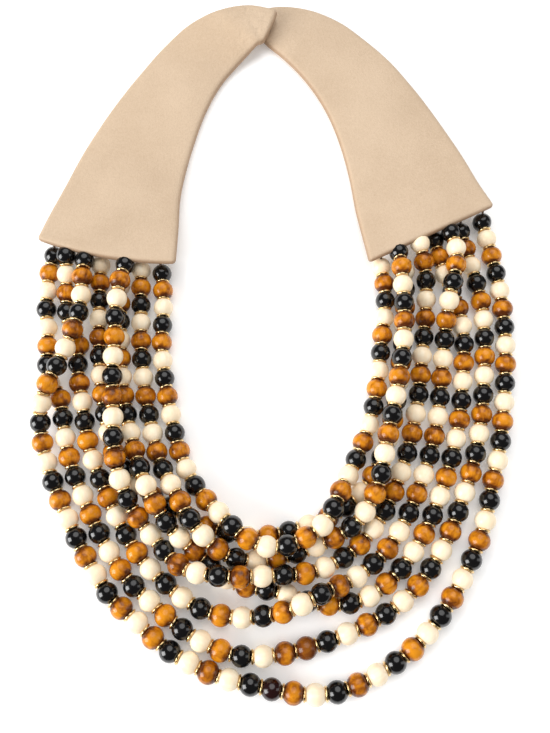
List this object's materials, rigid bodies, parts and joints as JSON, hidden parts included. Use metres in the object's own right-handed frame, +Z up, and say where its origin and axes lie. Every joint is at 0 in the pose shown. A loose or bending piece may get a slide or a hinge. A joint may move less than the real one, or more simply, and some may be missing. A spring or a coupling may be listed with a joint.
{
  "type": "beaded necklace",
  "caption": "Bib necklace: round black, wood and ivory beads with metal discs between, in loose draped strings held by two curved leather wings that lap behind the neck.",
  "frame": {"origin": "bottom centre of the whole necklace's box as it lies flat, on the surface it lies on", "axes": "+Z up off the surface, +Y from the drape of the strings to the lap of the wings at the nape, +X across to the picture's right"},
  "size_m": [0.187, 0.2848, 0.0158],
  "materials": {
    "leather": "matte beige leather, fine grain",
    "wood_beads": "polished amber-brown wood",
    "black_beads": "glossy black",
    "ivory_beads": "smooth cream",
    "discs": "polished gold-coloured metal",
    "snap_metal": "plain pressed metal"
  },
  "bodies": {
    "root": {"wing_left": "leather", "wing_right": "leather", "snap_fastener": "snap_metal", "string_outer": "wood_beads", "string_second": "wood_beads", "string_third": "wood_beads", "string_fourth": "wood_beads", "string_fifth": "wood_beads", "string_under": "wood_beads", "string_sixth": "wood_beads", "string_inner": "wood_beads"}
  },
  "joints": []
}
